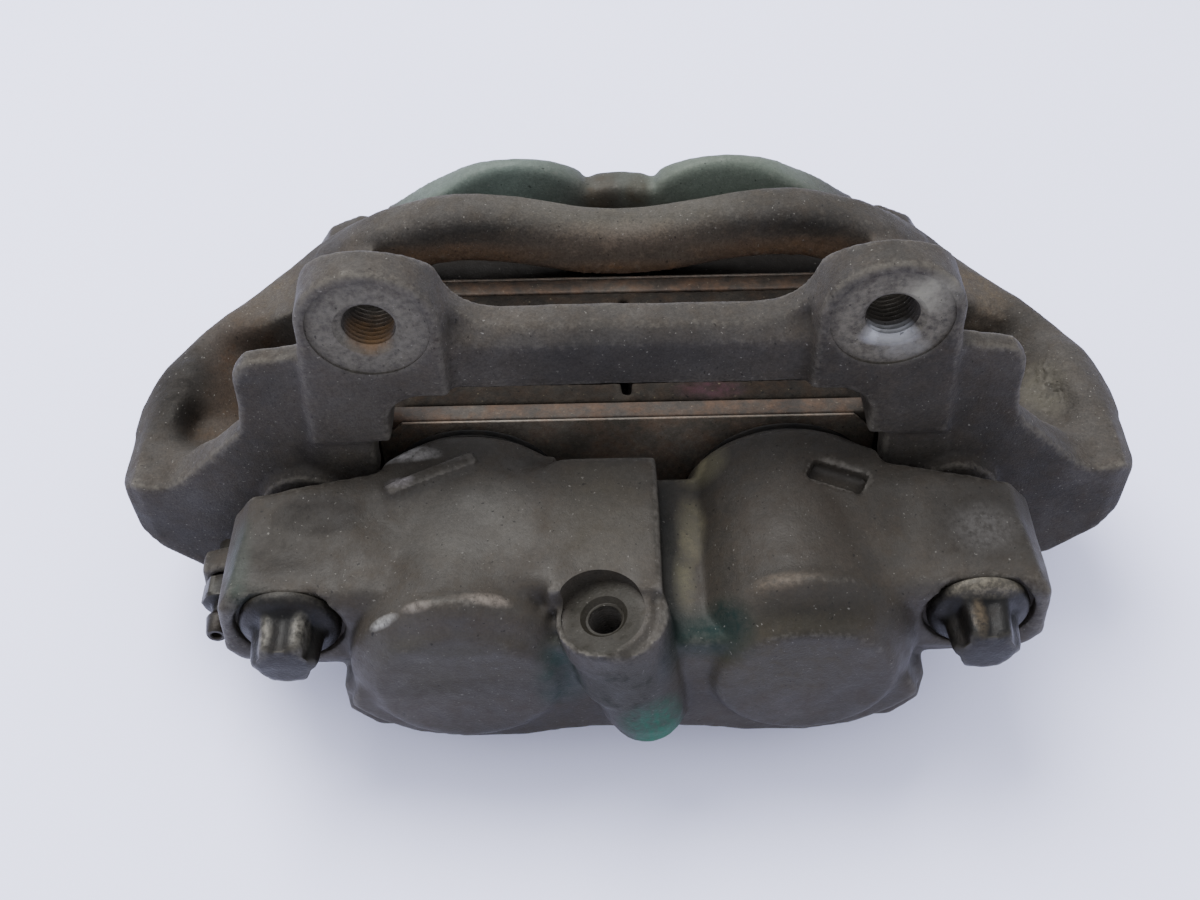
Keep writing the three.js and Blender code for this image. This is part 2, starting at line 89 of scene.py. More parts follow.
class Wiring:   # builds one material's nodes, and hands back sockets
    def __init__(self, name):
        self.material = bpy.data.materials.new(name)
        self.material.use_nodes = True
        self.tree = self.material.node_tree
        self.tree.nodes.clear()
        self.shader = self.node("ShaderNodeBsdfPrincipled")
        output = self.node("ShaderNodeOutputMaterial")
        self.join(self.shader.outputs[0], output.inputs[0])
        self.place = self.node("ShaderNodeTexCoord").outputs["Object"]

    def node(self, kind, **settings):
        made = self.tree.nodes.new(kind)
        for key, value in settings.items():
            setattr(made, key, value)
        return made

    def join(self, source, target):
        self.tree.links.new(source, target)

    def feed(self, target, value):
        if isinstance(value, bpy.types.NodeSocket):
            self.join(value, target)
        else:
            target.default_value = value

    def maths(self, operation, first, second=0.0, clamp=False):
        made = self.node("ShaderNodeMath", operation=operation, use_clamp=clamp)
        self.feed(made.inputs[0], first)
        self.feed(made.inputs[1], second)
        return made.outputs[0]

    def vector(self, operation, first, second):
        made = self.node("ShaderNodeVectorMath", operation=operation)
        self.feed(made.inputs[0], first)
        self.feed(made.inputs[1], second)
        return made.outputs["Value" if operation in ("LENGTH", "DOT_PRODUCT") else "Vector"]

    def grain(self, scale, detail=3.0, rough=0.55, lean=None):   # scale is features per metre
        made = self.node("ShaderNodeTexNoise")
        made.inputs["Scale"].default_value = scale
        made.inputs["Detail"].default_value = detail
        made.inputs["Roughness"].default_value = rough
        self.join(lean if lean is not None else self.place, made.inputs["Vector"])
        return made.outputs["Fac"]

    def stretchedPlace(self, x, y, z):
        return self.vector("MULTIPLY", self.place, (x, y, z))

    def fit(self, value, low, high, outLow=0.0, outHigh=1.0):
        made = self.node("ShaderNodeMapRange", clamp=True)
        self.feed(made.inputs["Value"], value)
        made.inputs["From Min"].default_value = low
        made.inputs["From Max"].default_value = high
        made.inputs["To Min"].default_value = outLow
        made.inputs["To Max"].default_value = outHigh
        return made.outputs["Result"]

    def blend(self, amount, first, second, how="MIX"):
        made = self.node("ShaderNodeMix", data_type="RGBA", blend_type=how)
        self.feed(made.inputs["Factor"], amount)
        firstColour, secondColour, mixed = 6, 7, 2   # the colour sockets, after numbers and vectors
        self.feed(made.inputs[firstColour], first)
        self.feed(made.inputs[secondColour], second)
        return made.outputs[mixed]

    def attribute(self, name):
        return self.node("ShaderNodeAttribute", attribute_name=name).outputs["Fac"]

    def spot(self, centre, reach, edge=0.5):   # 1 inside an ellipsoid, fading to 0 at its surface
        offset = self.vector("SUBTRACT", self.place, tuple(centre))
        scaled = self.vector("DIVIDE", offset, tuple(r * mm for r in reach))
        distance = self.vector("LENGTH", scaled, (0, 0, 0))
        return self.fit(distance, 1.0, 1.0 - edge)

    def bump(self, height, strength, distance, under=None):
        made = self.node("ShaderNodeBump")
        made.inputs["Strength"].default_value = strength
        made.inputs["Distance"].default_value = distance * mm
        self.join(height, made.inputs["Height"])
        if under is not None:
            self.join(under, made.inputs["Normal"])
        return made.outputs["Normal"]


def stainOrPaintedLight(place, reach, colour, strength, **more):
    # a colour mark: mostly real stains, rust, paint and wear, some of them painted highlights and painted
    # shade; more is how broken up it is, the texture that breaks it, how wide its edge is, and a depth of
    # its own
    return {"at": place, "reach": reach, "colour": colour, "strength": strength, **more}


def layPatches(wiring, colour, patches, ragged, depth):
    for patch in patches:
        mask = wiring.spot(at(*patch["at"]), patch["reach"], patch.get("edge", 0.6))
        broken = patch.get("broken", 0.5)
        noisy = wiring.fit(ragged[patch.get("texture", "coarse")], 0.5 - 0.28 * broken, 0.5 + 0.12)
        mask = wiring.maths("MULTIPLY", mask, wiring.maths("MAXIMUM", noisy, 1.0 - broken))
        mask = wiring.maths("MULTIPLY", mask, patch["strength"], clamp=True)
        colour = wiring.blend(mask, colour, tone(*patch["colour"], patch.get("depth", depth)))
    return colour


def agedFinish(name, look):
    # metal, rubber or friction mix: grain, grime and painted shade in the hollows, worn edges, stains with
    # some painted highlights and painted shade among them, specks and pits
    w = Wiring(name)
    depth = look["depth"]
    ragged = {
        "broad": w.grain(look.get("broadScale", 24), 4.0, 0.6),
        "coarse": w.grain(look.get("coarseScale", 160), 6.0, 0.68),
        "fine": w.grain(look.get("fineScale", 620), 4.0, 0.65),
    }
    sand = w.grain(look.get("sandScale", 1500), 3.0, 0.7)
    lightness = w.fit(ragged["broad"], 0.36, 0.64)
    colour = w.blend(lightness, tone(*look["dark"], depth), tone(*look["light"], depth))
    warmth = w.fit(ragged["coarse"], 0.42, 0.66, 0.0, look["warmShare"])
    colour = w.blend(warmth, colour, tone(*look["warm"], depth))
    colour = layPatches(w, colour, look.get("stainsAndPaintedLight", []), ragged, depth)
    blotch = w.fit(ragged["fine"], 0.3, 0.7, 1.0 - look["blotches"], 1.0 + look["blotches"])
    gritty = w.fit(sand, 0.3, 0.7, 1.0 - look["grainDepth"], 1.0 + look["grainDepth"])
    shade = w.maths("MULTIPLY", blotch, gritty)
    grey = w.node("ShaderNodeCombineColor")
    for i in range(3):
        w.join(shade, grey.inputs[i])
    colour = w.blend(1.0, colour, grey.outputs[0], "MULTIPLY")
    curve = w.attribute("curve")   # above 0 on edges that stick out, below 0 in hollows
    # painted shade: hollows darkened from the curve mark, standing in for occlusion shade together with the
    # grime there
    hollowGrimeAndShade = w.fit(curve, -0.06, -0.5, 0.0, look["grimeAndShade"])
    hollowGrimeAndShade = w.maths("MULTIPLY", hollowGrimeAndShade, w.fit(ragged["coarse"], 0.3, 0.6, 0.55, 1.0))
    colour = w.blend(hollowGrimeAndShade, colour, tone(*look["grimeAndShadeColour"], depth))
    worn = w.maths("ADD", curve, w.fit(ragged["fine"], 0.3, 0.7, -0.16, 0.16))
    worn = w.fit(worn, look["wearStart"], look["wearStart"] + 0.35, 0.0, look["wear"])
    colour = w.blend(worn, colour, tone(*look["wearColour"], depth))
    colour = layPatches(w, colour, look.get("patches", []), ragged, depth)
    speckGrain = w.grain(1050, 2.0, 0.5, w.stretchedPlace(1.0, 1.0, 1.3))
    specks = w.fit(speckGrain, 0.70, 0.76, 0.0, look["specks"])
    colour = w.blend(specks, colour, tone(*look["speckColour"], depth))
    pitGrain = w.grain(820, 1.0, 0.4, w.stretchedPlace(1.1, 1.0, 0.9))
    pits = w.fit(pitGrain, 0.265, 0.23, 0.0, look["pits"])
    colour = w.blend(pits, colour, tone(24, 22, 20, depth))
    w.join(colour, w.shader.inputs["Base Color"])
    rough = look["rough"]
    w.join(w.fit(ragged["coarse"], 0.3, 0.7, rough - 0.1, rough + 0.1), w.shader.inputs["Roughness"])
    w.shader.inputs["Metallic"].default_value = look["metallic"]
    w.shader.inputs["Specular IOR Level"].default_value = look["specular"]
    fineBump = w.bump(sand, look["grainBump"], 0.35)
    w.join(w.bump(ragged["coarse"], look.get("coarseBump", 0.35), 0.8, fineBump), w.shader.inputs["Normal"])
    return w.material


def linked(name, mesh):
    piece = bpy.data.objects.new(name, mesh)
    bpy.context.scene.collection.objects.link(piece)
    return piece


def meshFrom(name, points, faces):
    mesh = bpy.data.meshes.new(name)
    mesh.from_pydata([tuple(p) for p in points], [], faces)
    mesh.validate()
    work = bmesh.new()
    work.from_mesh(mesh)
    bmesh.ops.recalc_face_normals(work, faces=work.faces)
    work.to_mesh(mesh)
    work.free()
    return mesh


def baked(piece):   # the piece's modifiers become its mesh
    depsgraph = bpy.context.evaluated_depsgraph_get()
    mesh = bpy.data.meshes.new_from_object(piece.evaluated_get(depsgraph))
    old = piece.data
    piece.modifiers.clear()
    piece.data = mesh
    bpy.data.meshes.remove(old)
    return piece


def combine(piece, other, operation):
    step = piece.modifiers.new(operation, "BOOLEAN")
    step.operation = operation
    step.solver = "MANIFOLD"
    step.object = other
    baked(piece)
    bpy.data.objects.remove(other)


def joinMeshes(piece, others):   # the skin that follows makes one body of them
    work = bmesh.new()
    work.from_mesh(piece.data)
    for other in others:
        work.from_mesh(other.data)
        bpy.data.objects.remove(other)
    work.to_mesh(piece.data)
    work.free()


def turnedRings(rings, steps, origin, direction=(0, 1, 0), lobes=None, closed=False):
    # rings are [radius, height] in mm: a solid with radius 0 at both ends, or a hollow ring if closed
    axis = Vector(direction).normalized()
    side = Vector((1, 0, 0)) if abs(axis.x) < 0.7 else Vector((0, 0, 1))
    across = axis.cross(side).normalized()
    side = across.cross(axis)
    points, rows = [], []
    for ringIndex, (radius, height) in enumerate(rings):
        if radius == 0:
            rows.append([len(points)])
            points.append(origin + axis * (height * mm))
            continue
        row = []
        for i in range(steps):
            angle = 2 * math.pi * i / steps
            reach = radius * (lobes(ringIndex, angle) if lobes else 1.0) * mm
            row.append(len(points))
            spoke = side * math.cos(angle) + across * math.sin(angle)
            points.append(origin + axis * (height * mm) + spoke * reach)
        rows.append(row)
    faces = []
    pairs = list(zip(rows, rows[1:])) + ([(rows[-1], rows[0])] if closed else [])
    for low, high in pairs:
        for i in range(steps):
            j = (i + 1) % steps
            if len(low) == 1:
                faces.append((low[0], high[j], high[i]))
            elif len(high) == 1:
                faces.append((low[i], low[j], high[0]))
            else:
                faces.append((low[i], low[j], high[j], high[i]))
    return points, faces


def plug(radius, low, high, origin, direction=(0, 1, 0), steps=96):
    return linked("plug", meshFrom("plug", *turnedRings(
        [(0, low), (radius, low), (radius, high), (0, high)], steps, origin, direction)))


def boxBetween(low, high):
    points = [(x, y, z) for x in (low[0], high[0]) for y in (low[1], high[1]) for z in (low[2], high[2])]
    faces = [(0, 1, 3, 2), (4, 6, 7, 5), (0, 4, 5, 1), (2, 3, 7, 6), (0, 2, 6, 4), (1, 5, 7, 3)]
    return linked("box", meshFrom("box", points, faces))


def threadTool(minor, major, pitch, low, high, origin, direction=(0, 1, 0), steps=72):
    # a rod with a helical thread on it, that cuts a threaded hole
    perTurn = 8
    rings = [(0, low)]
    rowCount = int((high - low) / pitch * perTurn)
    for i in range(rowCount + 1):
        rings.append((1.0, low + (high - low) * i / rowCount))
    rings.append((0, high))

    def radiusAt(ringIndex, angle):
        turn = (rings[ringIndex][1] / pitch - angle / (2 * math.pi)) % 1.0
        ridge = min(1.0, max(0.0, abs(turn - 0.5) * 2.6 - 0.15))
        return major + (minor - major) * ridge

    points, faces = turnedRings(rings, steps, origin, direction, radiusAt)
    return linked("threadTool", meshFrom("threadTool", points, faces))


def edgesOf(mesh):
    edges = np.zeros(len(mesh.edges) * 2, np.int64)
    mesh.edges.foreach_get("vertices", edges)
    return edges.reshape(-1, 2)


def pointsOf(mesh):
    points = np.zeros(len(mesh.vertices) * 3, np.float32)
    mesh.vertices.foreach_get("co", points)
    return points.reshape(-1, 3).astype(float)


def normalsOf(mesh):
    normals = np.zeros(len(mesh.vertices) * 3, np.float32)
    mesh.vertex_normals.foreach_get("vector", normals)
    return normals.reshape(-1, 3).astype(float)


def neighbourMean(values, edges, counts):
    first, second = edges[:, 0], edges[:, 1]
    total = np.empty_like(values)
    for k in range(values.shape[1]):
        total[:, k] = (np.bincount(first, values[second, k], len(values))
                       + np.bincount(second, values[first, k], len(values)))
    return total / counts[:, None]


def relax(points, edges, rounds, freedom):
    # each round moves a point halfway to the middle of its neighbours, as far as its freedom allows
    counts = np.bincount(edges.ravel(), minlength=len(points)).astype(float)
    for _ in range(rounds):
        points = points + 0.5 * freedom[:, None] * (neighbourMean(points, edges, counts) - points)
    return points


def falloff(points, centre, reach):   # 1 at the centre of an ellipsoid, 0 at its surface
    offset = (points - np.array(centre)) / (np.array(reach) * mm)
    distance = np.clip(np.linalg.norm(offset, axis=1), 0, 1)
    return (1 - distance ** 2) ** 2


def waves(points, size, seed):   # smooth random numbers, about -1 to 1, size in mm
    shift = Vector((seed * 3.1, seed * 1.7, seed * 2.3))
    return np.array([noise.noise(Vector(p) / (size * mm) + shift) for p in points])


def markCurve(mesh, rounds=10):
    points = pointsOf(mesh)
    smoothed = relax(points, edgesOf(mesh), rounds, np.ones(len(points)))
    curve = np.sum((points - smoothed) * normalsOf(mesh), axis=1) / mm
    mark = mesh.attributes.new("curve", "FLOAT", "POINT")
    mark.data.foreach_set("value", curve.astype(np.float32))


def roughCopy(nodeName, pieceName, shape):
    # a casting: the CAD solid as one even skin, its edges softened, dented and swollen
    piece = linked(pieceName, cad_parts[nodeName].data.copy())
    piece.data.materials.clear()
    joinMeshes(piece, [fill() for fill in shape.get("fills", [])])
    skin = piece.modifiers.new("skin", "REMESH")
    skin.mode = "VOXEL"
    skin.voxel_size = shape["skin"] * mm
    baked(piece)
    mesh = piece.data
    points, edges = pointsOf(mesh), edgesOf(mesh)
    freedom = np.ones(len(points))
    for keep in shape.get("keeps", []):
        held = np.clip(falloff(points, at(*keep["at"]), keep["reach"]) * 2.5, 0, 1)
        freedom *= 1 - keep["amount"] * held
    for rounds, edgeFreedom in shape["softening"]:
        points = relax(points, edges, rounds, freedom * edgeFreedom)
    for spot in shape.get("melts", []):   # places worn or cast much rounder than the rest
        melted = np.clip(falloff(points, at(*spot["at"]), spot["reach"]) * 3.0, 0, 1)
        points = relax(points, edges, spot["rounds"], melted * freedom)
    mesh.vertices.foreach_set("co", points.astype(np.float32).ravel())
    mesh.update()
    normals = normalsOf(mesh)
    swell = np.full(len(points), shape.get("swell", 0.0))
    for size, height, seed in shape["unevenness"]:
        swell += height * waves(points, size, seed)
    points = points + normals * swell[:, None] * freedom[:, None] * mm
    for push in shape.get("pushes", []):
        weight = falloff(points, at(*push["at"]), push["reach"])
        points = points + weight[:, None] * np.array(push["by"]) * mm
    for crust in shape.get("crusts", []):   # lumpy scale that stands on the surface
        near = np.flatnonzero(falloff(points, at(*crust["at"]), crust["reach"]) > 0)
        weight = np.sqrt(falloff(points[near], at(*crust["at"]), crust["reach"]))
        lumps = np.abs(waves(points[near], crust["size"], crust["seed"])) * weight * crust["height"] * mm
        points[near] += normals[near] * lumps[:, None]
    mesh.vertices.foreach_set("co", points.astype(np.float32).ravel())
    mesh.update()
    markCurve(mesh)
    for tool in shape.get("cuts", []):
        combine(piece, tool(), "DIFFERENCE")
    finishShading(piece, 40)
    print("cast", pieceName, len(piece.data.vertices), "points")
    return piece


def bevelCopy(nodeName, pieceName, radius, segments=2):
    # a copy of a CAD solid with its edges rounded
    piece = linked(pieceName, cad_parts[nodeName].data.copy())
    work = bmesh.new()
    work.from_mesh(piece.data)
    bmesh.ops.remove_doubles(work, verts=work.verts, dist=0.002 * mm)
    bmesh.ops.dissolve_limit(work, angle_limit=math.radians(1.5), verts=work.verts, edges=work.edges)
    work.to_mesh(piece.data)
    work.free()
    edge = piece.modifiers.new("rounded edges", "BEVEL")
    edge.width = radius * mm
    edge.segments = segments
    edge.limit_method = "ANGLE"
    edge.angle_limit = math.radians(30)
    baked(piece)
    finishShading(piece, 35)
    return piece


def finishShading(piece, degrees):
    mesh = piece.data
    mesh.shade_smooth()
    mesh.set_sharp_from_angle(angle=math.radians(degrees))


def dress(piece, material, slot, body, *replaced):
    piece.data.materials.clear()
    piece.data.materials.append(material)
    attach(piece, body)
    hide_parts(*replaced)
    return piece


print("tools ready")


bracketShape = {
    "skin": 0.95,
    "softening": [(5, 1.0)],
    "swell": 0.12,
    "unevenness": [(22, 0.35, 1), (7, 0.12, 2), (2.2, 0.07, 3)],
    "melts": [
        {"at": (124, 0, -62), "reach": (26, 42, 18), "rounds": 70},
        {"at": (-124, 0, -62), "reach": (26, 42, 18), "rounds": 70},
        {"at": (112, 34, -56), "reach": (20, 16, 14), "rounds": 50},
        {"at": (-112, 34, -56), "reach": (20, 16, 14), "rounds": 50},
        {"at": (0, 37, -40), "reach": (88, 14, 16), "rounds": 14},
    ],
    "lugX": 65, "spotY": -46, "spotRadius": 15.5, "threadMinor": 6.55, "threadMajor": 7.5, "pitch": 1.5,
    "pinHoleRadius": 5.85, "drumGapRadius": 32.3, "padSlotY": (18, 37.5),
    "padSlotX": 75.5, "padSlotTop": -51.5, "earSlotX": 84.5, "earSlotZ": (-91.2, -73.3),
    "crusts": [
        {"at": (125, -9, -67), "reach": (9, 13, 12), "size": 1.7, "height": 2.0, "seed": 21},
        {"at": (112, 18, -64), "reach": (9, 14, 7), "size": 2.0, "height": 1.2, "seed": 22},
        {"at": (0, 28, -50), "reach": (40, 6, 5), "size": 2.6, "height": 0.9, "seed": 23},
        {"at": (50, 28, -43), "reach": (34, 6, 6), "size": 2.6, "height": 0.9, "seed": 24},
        {"at": (-50, 28, -43), "reach": (34, 6, 6), "size": 2.6, "height": 0.9, "seed": 25},
    ],
}

bracketLook = {
    "depth": 0.33, "broadScale": 26, "dark": (66, 62, 57), "light": (96, 91, 85), "warm": (92, 80, 66),
    "warmShare": 0.3, "blotches": 0.14, "grainDepth": 0.26, "grimeAndShade": 0.75, "grimeAndShadeColour": (38, 34, 30),
    "wearStart": 0.18, "wear": 0.4, "wearColour": (150, 144, 132), "specks": 0.5,
    "speckColour": (200, 196, 186),
    "pits": 0.6, "rough": 0.72, "metallic": 0.1, "specular": 0.13, "grainBump": 0.6,
    "stainsAndPaintedLight": [
        stainOrPaintedLight((-117, 10, -68), (17, 32, 15), (92, 72, 56), 0.8, broken=0.4),
        stainOrPaintedLight((-124, -13, -72), (13, 20, 13), (92, 76, 60), 0.7),
        stainOrPaintedLight((-127, -44, -76), (17, 6, 18), (92, 90, 88), 0.6, texture="broad"),
        stainOrPaintedLight((112, 18, -64), (9, 14, 7), (128, 115, 100), 0.9),
        stainOrPaintedLight((-133, -5, -59), (13, 26, 10), (48, 44, 39), 1.0, broken=0.3),
        # painted light: the tie bar's downward-facing middle band lightened against its own shade, over its
        # brown-grey colour
        stainOrPaintedLight((0, 30, -43), (94, 9, 12), (148, 131, 114), 0.9, broken=0.4),
        stainOrPaintedLight((126, -9, -66), (12, 14, 14), (92, 87, 77), 0.7, broken=0.4),
        stainOrPaintedLight((116, 30, -55), (22, 18, 10), (118, 104, 84), 0.6, broken=0.5),
        stainOrPaintedLight((-116, 30, -55), (22, 18, 10), (112, 100, 82), 0.6, broken=0.5),
        stainOrPaintedLight((-96, -30, -38), (10, 14, 5), (120, 100, 84), 0.6, broken=0.4),
        stainOrPaintedLight((0, 28, -50), (40, 8, 6), (140, 108, 80), 0.95, broken=0.4),
        stainOrPaintedLight((50, 28, -43), (36, 8, 7), (140, 108, 80), 0.95, broken=0.4),
        stainOrPaintedLight((-50, 28, -43), (36, 8, 7), (140, 108, 80), 0.95, broken=0.4),
        stainOrPaintedLight((0, 38, -34), (80, 10, 10), (118, 114, 102), 0.5, broken=0.3),
        stainOrPaintedLight((-87, -45, -48), (6, 3, 8), (42, 38, 38), 0.8),
        stainOrPaintedLight((-72, -46, -30), (10, 4, 14), (96, 92, 86), 0.5, texture="fine"),
        stainOrPaintedLight((0, -43, -15), (50, 5, 14), (70, 68, 67), 0.6, broken=0.2),
    ],
    "patches": [
        stainOrPaintedLight((-65, -46, 0), (18, 2.2, 18), (146, 141, 128), 0.75, broken=0.95, texture="fine", edge=0.3),
        stainOrPaintedLight((65, -46, 0), (18, 2.2, 18), (148, 142, 128), 0.8, broken=0.95, texture="fine", edge=0.3),
        stainOrPaintedLight((73, -46, 8), (9, 2.4, 8), (188, 184, 166), 0.9, broken=0.75),
        stainOrPaintedLight((69, -46, -10), (8, 2.4, 5), (176, 174, 168), 0.8, broken=0.8),
        stainOrPaintedLight((125, -10, -66), (9, 12, 9), (122, 117, 103), 0.8, broken=0.9),
        stainOrPaintedLight((-65, -41, -5), (7.6, 9, 6), (172, 134, 92), 0.8, broken=0.7),
        # painted highlight: a near-white lit crescent on the floor of the right lug's bore near its mouth
        stainOrPaintedLight((65, -44.5, -6), (9, 5, 4), (240, 242, 246), 0.95, broken=0.4),
        # painted shade: the lug bores darken towards their depth, to near black inside
        stainOrPaintedLight((65, -36, -4), (7.6, 9, 8), (70, 66, 58), 0.8, broken=0.3),
        stainOrPaintedLight((-65, -28, -4), (9, 5.5, 9), (26, 22, 18), 1.0, broken=0.1),
        stainOrPaintedLight((65, -28, -4), (9, 5.5, 9), (26, 24, 22), 1.0, broken=0.1),
    ],
}


def bracketFills():
    # the lug holes are filled before their threads are cut, and each arm's valley gets a mound
    lug = bracketShape["lugX"]
    fills = [lambda x=side * lug: plug(9.5, -46.4, -31.6, at(x, 0, 0)) for side in (-1, 1)]
    moundRings = [(0, -98), (14, -98), (15, -80), (13, -72), (9, -67), (4, -65.2), (0, -65)]
    for x, sink in ((123, 0), (-123, -4.5)):
        fills.append(lambda x=x, sink=sink: linked("mound", meshFrom("mound", *turnedRings(
            moundRings, 48, at(x, -15, sink), (0, 0, 1)))))
    return fills


def bracketCuts():
    # spot faces and threads in the lugs, pin holes, room for the drums, and the pads' slots
    tools = []
    s = bracketShape
    for side in (-1, 1):
        x = side * s["lugX"]
        tools.append(lambda x=x: plug(s["spotRadius"], -60, s["spotY"], at(x, 0, 0), steps=128))
        tools.append(lambda x=x: threadTool(
            s["threadMinor"], s["threadMajor"], s["pitch"], -48, -20, at(x, 0, 0)))
        tools.append(lambda x=x: linked("chamfer", meshFrom("chamfer", *turnedRings(
            [(0, -50), (8.7, -50), (8.7, s["spotY"] + 0.05), (6.4, s["spotY"] + 1.8),
             (0, s["spotY"] + 1.8)], 96, at(x, 0, 0)))))
        tools.append(lambda x=side * pinX: plug(s["pinHoleRadius"], -60, -22, at(x, 0, pinZ), steps=64))
        tools.append(lambda x=side * boreX: plug(s["drumGapRadius"], -60, -33, at(x, 0, boreZ), steps=128))
        near, far = sorted(side * y for y in s["padSlotY"])
        for half, low, high in ((s["padSlotX"], -130, s["padSlotTop"]), (s["earSlotX"], *s["earSlotZ"])):
            tools.append(lambda near=near, far=far, half=half, low=low, high=high: boxBetween(
                at(-half, near, low), at(half, far, high)))
    return tools


def makeBracket():
    bracketShape["fills"] = bracketFills()
    bracketShape["cuts"] = bracketCuts()
    piece = roughCopy("bracket", "bracket_casting", bracketShape)
    return dress(piece, agedFinish("worn cast iron", bracketLook), "cast_iron", "bracket", "bracket")


makeBracket()


housingShape = {
    "skin": 0.95,
    "softening": [(5, 1.0)],
    "swell": 0.15,
    "unevenness": [(26, 0.4, 5), (8, 0.14, 6), (2.4, 0.05, 7)],
    "melts": [
        {"at": (-26, -68, -50), "reach": (12, 30, 8), "rounds": 40},
        {"at": (-64, -74, -50), "reach": (14, 18, 8), "rounds": 22},
        {"at": (66, -74, -52), "reach": (14, 20, 10), "rounds": 30},
        {"at": (0, 58, -34), "reach": (80, 12, 14), "rounds": 12},
        {"at": (-64, -44, -50), "reach": (16, 9, 8), "rounds": 24},
    ],
    "portAt": (-8, -96.5, -53), "portLean": 11, "portSeatRadius": 10.9, "threadMinor": 4.25,
    "threadMajor": 4.9,
    "boreRadius": 22.35, "bootSeatRadius": 11.3, "boltSeatRadius": 14.6,
    "keeps": [
        {"at": (-8, -97, -53), "reach": (21, 21, 14), "amount": 1.0},
        {"at": (-53, -53, -46), "reach": (18, 12, 6), "amount": 0.85},
        {"at": (56, -56, -50), "reach": (16, 12, 8), "amount": 0.9},
    ],
    "pushes": [
        {"at": (45, -90.5, -47.5), "reach": (24, 5, 6), "by": (0, -0.4, 0.8)},
        {"at": (-45, -95.5, -47.5), "reach": (24, 5, 6), "by": (0, -0.4, 0.9)},
        {"at": (45, -98, -53), "reach": (24, 6, 6), "by": (0, 0.9, -0.9)},
        {"at": (-45, -100, -56), "reach": (24, 6, 7), "by": (0, 1.2, -0.9)},
        {"at": (-84, -66, -48.5), "reach": (13, 8, 4), "by": (0, 0, -0.9)},
        {"at": (-90.5, -82, -50), "reach": (9, 6, 6), "by": (0, 0, -1.4)},
        {"at": (-68, -66, -48), "reach": (8, 10, 6), "by": (0, 0, -0.9)},
        {"at": (72, -70, -49), "reach": (8, 12, 6), "by": (0, 0, -0.9)},
    ],
}

